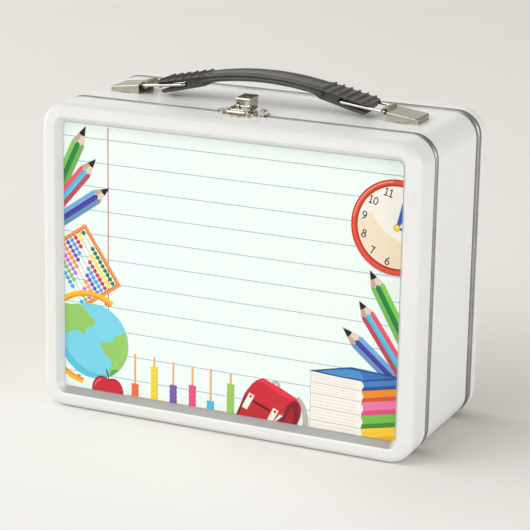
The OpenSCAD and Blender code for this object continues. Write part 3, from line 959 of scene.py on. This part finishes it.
def draw_books(art):
    """Five books in a stack, their page blocks to the left and their spines cut by the sheet's edge."""
    left = 150.4
    hinge = 180.8
    edge = 201
    levels = [30.8, 25, 18.8, 11.2, 3.8, -4]
    rise = 4.6
    fall = -12
    art.area(linear(246, 238, 228), [(left, 31.4), (178.6, 30.6), (178.6, fall), (left, fall)])
    tones = [(linear(72, 130, 196), linear(46, 84, 152)), (linear(242, 142, 46), linear(210, 92, 42)),
             (linear(240, 122, 172), linear(226, 82, 134)), (linear(120, 192, 80), linear(70, 142, 60)),
             (linear(253, 208, 58), linear(246, 184, 38))]
    for high, low, (tone, shade) in zip(levels, levels[1:], tones):
        depth = high - low
        middle = (high + low) / 2
        art.area(CREAM, [(left + 0.3, high + 0.3), (176, high)]
                 + bow((177.6, middle), 2.9, 84, -84, 10, depth / 6)
                 + [(176, low + 0.3), (left + 0.3, low + 0.9)])
        for line in range(1, 4):
            v = high - depth * line / 4
            art.line(linear(224, 212, 202), [(left + 1, v + 0.6), (176.6, v)], 0.3)
        art.line(linear(196, 184, 176), [(left + 0.2, low + 0.7), (179, low + 0.1)], 0.42)
        art.area(tone, [(hinge - 1, high), (edge, high + rise), (edge, low + rise), (hinge - 1, low)]
                 + bow((hinge - 2, middle), 2, -60, 60, 8, depth / 5))
        shade_top = low + depth * 0.36
        art.area(shade, [(hinge - 0.4, shade_top), (edge, shade_top + rise), (edge, low + rise),
                         (hinge - 0.8, low)])
        art.line(shaded(shade, 0.5), [(hinge - 1, low), (edge, low + rise)], 0.28)
    art.line(linear(190, 180, 172), [(left, 31.6), (left, fall)], 0.35)
    back_edge = [(149.8, 31.9), (170.2, 36.6), (174, 37.3), (182, 36.9), (edge, 35.9)]
    front_edge = [(edge, 34.9), (180.6, 30.6), (165, 31)]
    art.area(linear(44, 88, 160), [(149.8, 31.9), (160, 34.4)] + back_edge[1:] + front_edge)
    art.area(linear(78, 146, 208), [(155, 32.2), (164, 34.4), (171.4, 36), (178, 35.9), (188, 33.9),
                                    (181, 31.4), (166, 31.5)])
    art.area(linear(60, 116, 186), [(178, 35.9), (188, 35.7), (196, 35), (189, 33), (181, 31.4),
                                    (180, 33.6)])
    art.line(linear(28, 56, 116), [(149.8, 31.9), (165, 31), (180.6, 30.6), (edge, 34.9)], 0.35)
    art.line(linear(28, 56, 116), back_edge, 0.3)


DIGITS = {
    "0": [ring_path((0.32, 0.5), 0.25, 0.43)],
    "1": [[(0.1, 0.8), (0.34, 0.96)], [(0.32, 1.0), (0.32, 0)], [(0.08, 0.05), (0.56, 0.05)]],
    "6": [ring_path((0.32, 0.3), 0.24, 0.25), [(0.09, 0.3), (0.12, 0.55), (0.24, 0.8), (0.5, 0.97)]],
    "7": [[(0.04, 0.93), (0.6, 0.93)], [(0.57, 0.95), (0.36, 0.5), (0.24, 0)]],
    "8": [ring_path((0.32, 0.74), 0.19, 0.21), ring_path((0.32, 0.27), 0.25, 0.24)],
    "9": [ring_path((0.32, 0.7), 0.24, 0.25), [(0.55, 0.7), (0.52, 0.45), (0.4, 0.2), (0.14, 0.03)]],
}


def draw_number(art, text, middle, height, turn):
    """A number written with even strokes, turned about its middle."""
    c = math.cos(turn)
    s = math.sin(turn)
    pace = 0.62
    stroke = 0.62
    shift = pace * len(text) / 2
    for k, digit in enumerate(text):
        for path in DIGITS[digit]:
            spots = [((x + pace * k - shift) * height, (y - 0.5) * height) for x, y in path]
            art.line(INK, [(middle[0] + x * c - y * s, middle[1] + x * s + y * c) for x, y in spots], stroke)


def draw_clock(art):
    """A wall clock with a red rim, cut off by the sheet's right edge."""
    centre = (196.6, 116.6)
    rim = 25.6
    face = 22
    art.disc(linear(200, 206, 210), (centre[0] + 0.3, centre[1] - 0.6), rim + 0.3, steps=90)
    art.disc(linear(206, 56, 40), centre, rim, steps=90)
    art.line(linear(232, 84, 60), bow(centre, (rim + face) / 2 + 0.2, 60, 320, 70), 1.7)
    art.line(linear(250, 178, 150), bow(centre, rim - 1.3, 96, 172, 24), 0.4)
    art.line(linear(166, 38, 30), bow(centre, face + 0.2, 60, 320, 70), 0.6)
    art.disc(linear(246, 241, 232), centre, face - 0.1, steps=90)
    art.area(linear(240, 226, 198), bow(centre, face - 0.1, 176, 304, 30)
             + bow((206, 134), 25.6, 264, 203, 20))
    lean = math.radians(-14.5)
    for hour in range(6, 12):
        a = math.radians(90 - 30 * hour) + lean
        middle = (centre[0] + 18.9 * math.cos(a), centre[1] + 18.9 * math.sin(a))
        draw_number(art, str(hour), middle, 4.3, lean)
    art.area(linear(46, 92, 190), [(196.2, 117.6), (197.4, 122.4), (199.2, 130), (200.4, 122), (198, 117)])
    art.area(linear(40, 60, 120), [(198, 116.4), (200, 117), (200, 115.2), (198, 115.6)])
    art.disc(linear(180, 140, 40), centre, 1.9, steps=24)
    art.disc(linear(253, 214, 40), centre, 1.55, steps=24)
    art.disc(linear(255, 240, 160), (196.1, 117.1), 0.5, steps=12)


def print_artwork():
    """Ruled paper with school things round its edges."""
    wide = (print_hi.x - print_lo.x) / MM
    tall = (print_hi.z - print_lo.z) / MM
    art = Artwork()
    corner = 2.6
    grown = corner + 0.15
    right = wide - corner
    top = tall - corner
    outline = []
    for k, centre in enumerate([(right, corner), (right, top), (corner, top), (corner, corner)]):
        outline += arc(centre, grown, 90 * (k - 1), 90 * k, 8)
    art.area(MINT, outline)
    rule_half = 0.17
    for k in range(11):
        v = 9.3 + 13.5 * k
        art.box(RULE, -1, v - rule_half, wide + 1, v + rule_half)
    margin = 27.5
    margin_half = 0.32
    art.box(linear(196, 88, 66), margin - margin_half, -1, margin + margin_half, tall - 0.5)
    draw_pencils(art)
    draw_abacus(art)
    draw_globe(art)
    draw_apple(art)
    draw_counting_rods(art)
    draw_satchel(art)
    draw_pencils_right(art)
    draw_books(art)
    draw_clock(art)
    return art


def build_print():
    """The printed sheet: its shapes cut each other, and each face takes the colour printed last."""
    art = print_artwork()
    points = []
    rings = []
    for _, outline in art.shapes:
        rings.append(list(range(len(points), len(points) + len(outline))))
        points += outline
    spots, _, triangles, _, _, owners = delaunay_2d_cdt(points, [], rings, 0, 0.0005, True)
    work = bmesh.new()
    inks = work.loops.layers.float_color.new("ink")
    front = [work.verts.new((print_lo.x + p.x * MM, print_lo.y, print_lo.z + p.y * MM)) for p in spots]
    for triangle, owner in zip(triangles, owners):
        if 0 not in owner:
            continue
        face = work.faces.new([front[i] for i in triangle])
        for loop in face.loops:
            loop[inks] = (*art.shapes[max(owner)][0], 1)
    bmesh.ops.delete(work, geom=[v for v in front if not v.link_faces], context="VERTS")
    rim = [e for e in work.edges if len(e.link_faces) == 1]
    grown = bmesh.ops.extrude_edge_only(work, edges=rim)["geom"]
    back = [v for v in grown if isinstance(v, bmesh.types.BMVert)]
    for vertex in back:
        vertex.co.y = print_hi.y
    walls = {f for v in back for f in v.link_faces}
    far_rim = [e for e in grown if isinstance(e, bmesh.types.BMEdge) and len(e.link_faces) == 1]
    sheet_back = bmesh.ops.contextual_create(work, geom=far_rim)["faces"]
    for face in list(walls) + sheet_back:
        for loop in face.loops:
            loop[inks] = (*MINT, 1)
    sheet = add_object("printed_insert", new_mesh("printed_insert", work), weighted=False)
    place(sheet, "cover", "print_panel")


# ---------- materials ----------

class Nodes:
    """A short way to write a material's nodes."""

    def __init__(self, name):
        self.material = bpy.data.materials.new(name)
        self.material.use_nodes = True
        self.tree = self.material.node_tree
        self.shader = self.tree.nodes["Principled BSDF"]

    def add(self, kind, **values):
        node = self.tree.nodes.new(kind)
        for key, value in values.items():
            if hasattr(node, key):
                setattr(node, key, value)
            else:
                node.inputs[key.replace("_", " ")].default_value = value
        return node

    def link(self, source, target):
        self.tree.links.new(source, target)

    def drive(self, name, socket):
        """Feeds one of the shader's inputs."""
        self.link(socket, self.shader.inputs[name])

    def noise(self, scale, detail=3, stretch=(1, 1, 1)):
        """Noise in the object's own coordinates, with the scale per metre."""
        spot = self.add("ShaderNodeTexCoord")
        mapping = self.add("ShaderNodeMapping", Scale=stretch)
        self.link(spot.outputs["Object"], mapping.inputs["Vector"])
        texture = self.add("ShaderNodeTexNoise", Scale=scale, Detail=detail)
        self.link(mapping.outputs["Vector"], texture.inputs["Vector"])
        return texture.outputs["Fac"]

    def ramp(self, value, low, high, start=0.3, end=0.7):
        """Turns a 0 to 1 value into a number or a colour between low and high."""
        ramp = self.add("ShaderNodeMapRange", From_Min=start, From_Max=end)
        self.link(value, ramp.inputs["Value"])
        if not isinstance(low, tuple):
            ramp.inputs["To Min"].default_value = low
            ramp.inputs["To Max"].default_value = high
            return ramp.outputs["Result"]
        mix = self.add("ShaderNodeMix", data_type="RGBA")
        for socket in mix.inputs:
            if socket.type == "RGBA":
                socket.default_value = (*(low if socket.name == "A" else high), 1)
        self.link(ramp.outputs["Result"], mix.inputs["Factor"])
        return [s for s in mix.outputs if s.type == "RGBA"][0]

    def scaled(self, colour, factor):
        scale = self.add("ShaderNodeVectorMath", operation="SCALE")
        self.link(colour, scale.inputs[0])
        self.link(factor, scale.inputs["Scale"])
        return scale.outputs["Vector"]

    def bump(self, value, strength, distance):
        bump = self.add("ShaderNodeBump", Strength=strength, Distance=distance)
        self.link(value, bump.inputs["Height"])
        self.drive("Normal", bump.outputs["Normal"])

    def set(self, **values):
        for key, value in values.items():
            self.shader.inputs[key.replace("_", " ")].default_value = value


def enamel(name, with_painted_shade=False):
    """White stoving enamel on tinplate, with a slight orange peel. With painted shade on, its colour is
    multiplied by each vertex's tone, which is painted shade.
    """
    m = Nodes(name)
    colour = m.ramp(m.noise(18, 4), (0.78, 0.78, 0.77), (0.81, 0.81, 0.80), 0, 1)
    # Painted shade: the colour is darkened by the per-vertex tone.
    if with_painted_shade:
        colour = m.scaled(colour, m.add("ShaderNodeAttribute", attribute_name="tone").outputs["Fac"])
    m.drive("Base Color", colour)
    m.drive("Roughness", m.ramp(m.noise(60, 3), 0.28, 0.4, 0, 1))
    m.set(Coat_Weight=0.15, Coat_Roughness=0.2)
    m.bump(m.noise(420, 2), 0.05, 0.0001)
    return m.material


def metal(name, low, high, rough_low, rough_high, stretch=(1, 1, 1)):
    """Bare or plated metal, with rolled or brushed streaks."""
    grain = 900
    m = Nodes(name)
    m.set(Metallic=1.0)
    m.drive("Base Color", m.ramp(m.noise(70, 4), low, high))
    m.drive("Roughness", m.ramp(m.noise(grain, 3, stretch), rough_low, rough_high))
    m.bump(m.noise(grain, 3, stretch), 0.15, 0.00005)
    return m.material


def plastic(name):
    """Black moulded plastic with a fine grain."""
    m = Nodes(name)
    m.drive("Base Color", m.ramp(m.noise(90, 4), (0.06, 0.06, 0.058), (0.085, 0.084, 0.081)))
    m.drive("Roughness", m.ramp(m.noise(400, 3), 0.34, 0.48))
    m.set(Specular_IOR_Level=0.35)
    m.bump(m.noise(2600, 2), 0.25, 0.0001)
    return m.material


def printed_sheet():
    """Satin ink on card, with a faint unevenness in the print."""
    m = Nodes("printed_sheet")
    ink = m.add("ShaderNodeAttribute", attribute_name="ink")
    m.drive("Base Color", m.scaled(ink.outputs["Color"], m.ramp(m.noise(45, 4), 0.97, 1.0, 0, 1)))
    m.drive("Roughness", m.ramp(m.noise(80, 4), 0.4, 0.5))
    m.set(Specular_IOR_Level=0.25)
    m.bump(m.noise(1800, 2), 0.08, 0.00004)
    return m.material


def dress(material, *names):
    for name in names:
        piece = bpy.data.objects[name]
        piece.data.materials.clear()
        piece.data.materials.append(material)


def paint_all():
    """Gives every piece its material."""
    dress(enamel("white_enamel"), "body_band_shell")
    # The covers' enamel carries painted shade on the upper edge and the sunk wall.
    dress(enamel("white_enamel_covers_painted_shade", with_painted_shade=True), "front_cover_shell", "rear_cover_shell")
    tin = metal("bare_tin", (0.27, 0.27, 0.25), (0.35, 0.345, 0.32), 0.34, 0.5, (1, 0.15, 1))
    dress(tin, "front_rim_roll", "rear_rim_roll", "hinge_leaf_left", "hinge_leaf_right", "hinge_wire")
    # Painted shade: the neck strips take a darker tin so that the gaps in front of the rim beads look
    # shadowed.
    neck_gap_painted_shade = metal("tin_painted_gap_shade", (0.16, 0.16, 0.15), (0.22, 0.215, 0.20), 0.5, 0.65, (1, 0.15, 1))
    dress(neck_gap_painted_shade, "front_neck_strip", "rear_neck_strip")
    satin = metal("satin_nickel", (0.40, 0.375, 0.315), (0.48, 0.45, 0.385), 0.26, 0.4, (0.1, 1, 1))
    dress(satin, "handle_bracket_left", "handle_bracket_right")
    bright = metal("bright_nickel", (0.52, 0.485, 0.42), (0.64, 0.60, 0.53), 0.12, 0.26)
    dress(bright, "handle_wire_left", "handle_wire_right", "latch_base_plate", "latch_strike_plate",
          "latch_lever_channel", "latch_pin", "latch_base_rivet_heads", "latch_strike_rivet_heads",
          "latch_bail_wire")
    dress(plastic("black_moulding"), "handle_grip_moulding")
    dress(printed_sheet(), "printed_insert")


# ---------- stage ----------

def build_stage():
    """A round pale floor that curves up into a wall, soft light from lamps far off, and the camera."""
    flat = 4.0
    bend = 5.5
    wall_top = 9.0
    turns = 96
    section = [(0.4, 0.0), (flat, 0.0)] + arc((flat, bend), bend, -81, 0, 9) + [(flat + bend, wall_top)]
    vertices = [(x, y, z) for r, z in section for x, y in arc((0, 0), r, 0, 360, turns)[:-1]]
    middle = list(range(turns))
    floor = build("pale_floor", vertices, [middle] + grid_faces(len(section), turns), weighted=False)
    m = Nodes("pale_floor_paint")
    m.drive("Base Color", m.ramp(m.noise(2, 2), (0.81, 0.795, 0.765), (0.83, 0.815, 0.785), 0, 1))
    m.set(Roughness=0.85)
    floor.data.materials.append(m.material)

    world = bpy.data.worlds.new("soft_room")
    bpy.context.scene.world = world
    world.use_nodes = True
    background = world.node_tree.nodes["Background"]
    background.inputs["Color"].default_value = (1.0, 0.965, 0.915, 1)
    background.inputs["Strength"].default_value = 0.4

    aim = Vector((0, 0, 0.08))

    def area(name, at, size, power, colour):
        """A square lamp that faces the box."""
        data = bpy.data.lights.new(name, "AREA")
        data.size = size
        data.energy = power
        data.color = colour
        lamp = bpy.data.objects.new(name, data)
        lamp.location = at
        lamp.rotation_euler = (aim - Vector(at)).to_track_quat("-Z", "Y").to_euler()
        lamp.visible_camera = False
        bpy.context.scene.collection.objects.link(lamp)

    area("key", (-1.8, -2.8, 2.2), 3.2, 74, (0.98, 0.99, 1))
    area("above", (-2.2, -0.6, 3.4), 4.8, 76, (0.98, 0.99, 1))
    area("left", (-4.0, 0.0, 1.4), 2.4, 36, (1, 0.99, 0.98))
    area("right", (3.8, -1.0, 0.5), 2.4, 104, (0.97, 0.985, 1))
    area("behind", (-2.1, 4.5, 1.7), 3.0, 14, (1, 1, 1))

    azimuth = math.radians(24.456)
    elevation = math.radians(16.0)
    roll = math.radians(1.003)
    forward = Vector((-math.sin(azimuth) * math.cos(elevation), math.cos(azimuth) * math.cos(elevation),
                      -math.sin(elevation)))
    right = Vector((math.cos(azimuth), math.sin(azimuth), 0))
    up = right.cross(forward)
    tilted_right = right * math.cos(roll) + up * math.sin(roll)
    tilted_up = up * math.cos(roll) - right * math.sin(roll)
    data = bpy.data.cameras.new("camera")
    data.lens = 150.4
    data.sensor_width = 36
    camera = bpy.data.objects.new("camera", data)
    bpy.context.scene.collection.objects.link(camera)
    spot = (0.4916, -1.0771, 0.4229)
    turn = Matrix((tilted_right, tilted_up, -forward)).transposed()
    camera.matrix_world = Matrix.Translation(spot) @ turn.to_4x4()
    bpy.context.scene.camera = camera
    bpy.context.scene.view_settings.view_transform = "Standard"


build_case()
build_front_cover()
build_print()
build_handle()
build_latch()
paint_all()
build_stage()
